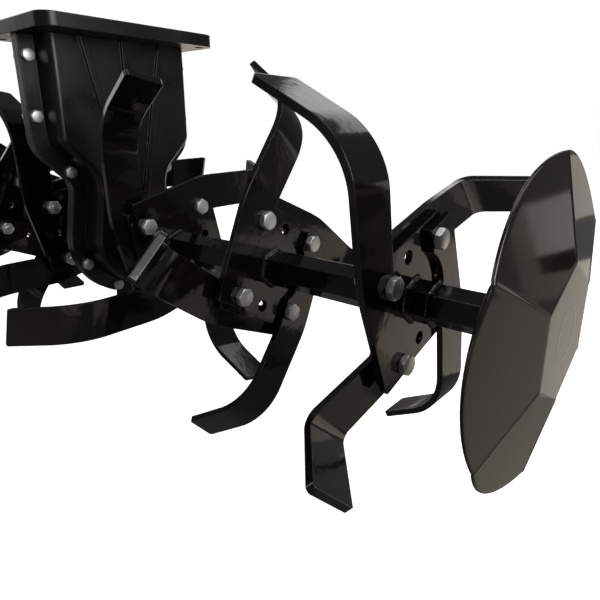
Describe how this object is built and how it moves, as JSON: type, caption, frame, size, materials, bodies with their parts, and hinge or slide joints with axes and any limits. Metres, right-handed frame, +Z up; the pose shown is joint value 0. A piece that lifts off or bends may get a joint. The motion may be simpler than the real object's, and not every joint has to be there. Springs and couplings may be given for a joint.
{
  "type": "tine rotor unit of a rotary tiller",
  "caption": "Drive case with a through shaft turning two half rotors: hexagon tubes with square flanges, bolted bent tines and dished guard discs at the ends.",
  "frame": {"origin": "middle of the drive case's flat top flange, on its upper face", "axes": "+X along the rotor shaft, +Z up out of the top flange, working direction towards -Y"},
  "size_m": [1.1286, 0.4118, 0.4559],
  "materials": {
    "case_paint": "gloss black paint on cast metal",
    "tine_paint": "gloss black paint on forged steel bar",
    "tube_paint": "gloss black paint on steel tube",
    "disc_paint": "gloss black paint on pressed sheet",
    "zinc_steel": "zinc plated",
    "bare_steel": "turned"
  },
  "bodies": {
    "drive_case": {"bearing_cap_left": "case_paint", "bearing_cap_right": "case_paint", "case_half_left": "case_paint", "case_half_right": "case_paint", "top_flange": "case_paint"},
    "rotor": {"disc_stub_left": "tube_paint", "disc_stub_right": "tube_paint", "guard_disc_left": "disc_paint", "guard_disc_right": "disc_paint", "hex_tube_left": "tube_paint", "hex_tube_right": "tube_paint", "output_shaft": "bare_steel", "retaining_pin_left": "zinc_steel", "retaining_pin_right": "zinc_steel", "tine_1_1_left": "tine_paint", "tine_1_1_right": "tine_paint", "tine_1_2_left": "tine_paint", "tine_1_2_right": "tine_paint", "tine_1_3_left": "tine_paint", "tine_1_3_right": "tine_paint", "tine_1_4_left": "tine_paint", "tine_1_4_right": "tine_paint", "tine_2_1_left": "tine_paint", "tine_2_1_right": "tine_paint", "tine_2_2_left": "tine_paint", "tine_2_2_right": "tine_paint", "tine_2_3_left": "tine_paint", "tine_2_3_right": "tine_paint", "tine_2_4_left": "tine_paint", "tine_2_4_right": "tine_paint", "tine_3_1_left": "tine_paint", "tine_3_1_right": "tine_paint", "tine_3_2_left": "tine_paint", "tine_3_2_right": "tine_paint", "tine_3_3_left": "tine_paint", "tine_3_3_right": "tine_paint", "tine_3_4_left": "tine_paint", "tine_3_4_right": "tine_paint", "tine_bolts_left": "zinc_steel", "tine_bolts_right": "zinc_steel", "tine_flange_1_left": "tine_paint", "tine_flange_1_right": "tine_paint", "tine_flange_2_left": "tine_paint", "tine_flange_2_right": "tine_paint", "tine_flange_3_left": "tine_paint", "tine_flange_3_right": "tine_paint"}
  },
  "joints": [
    {"name": "rotor_spin", "type": "hinge", "parent": "drive_case", "child": "rotor", "pos_m": [0, 0, -0.25], "axis": [1, 0, 0], "continuous": true}
  ]
}
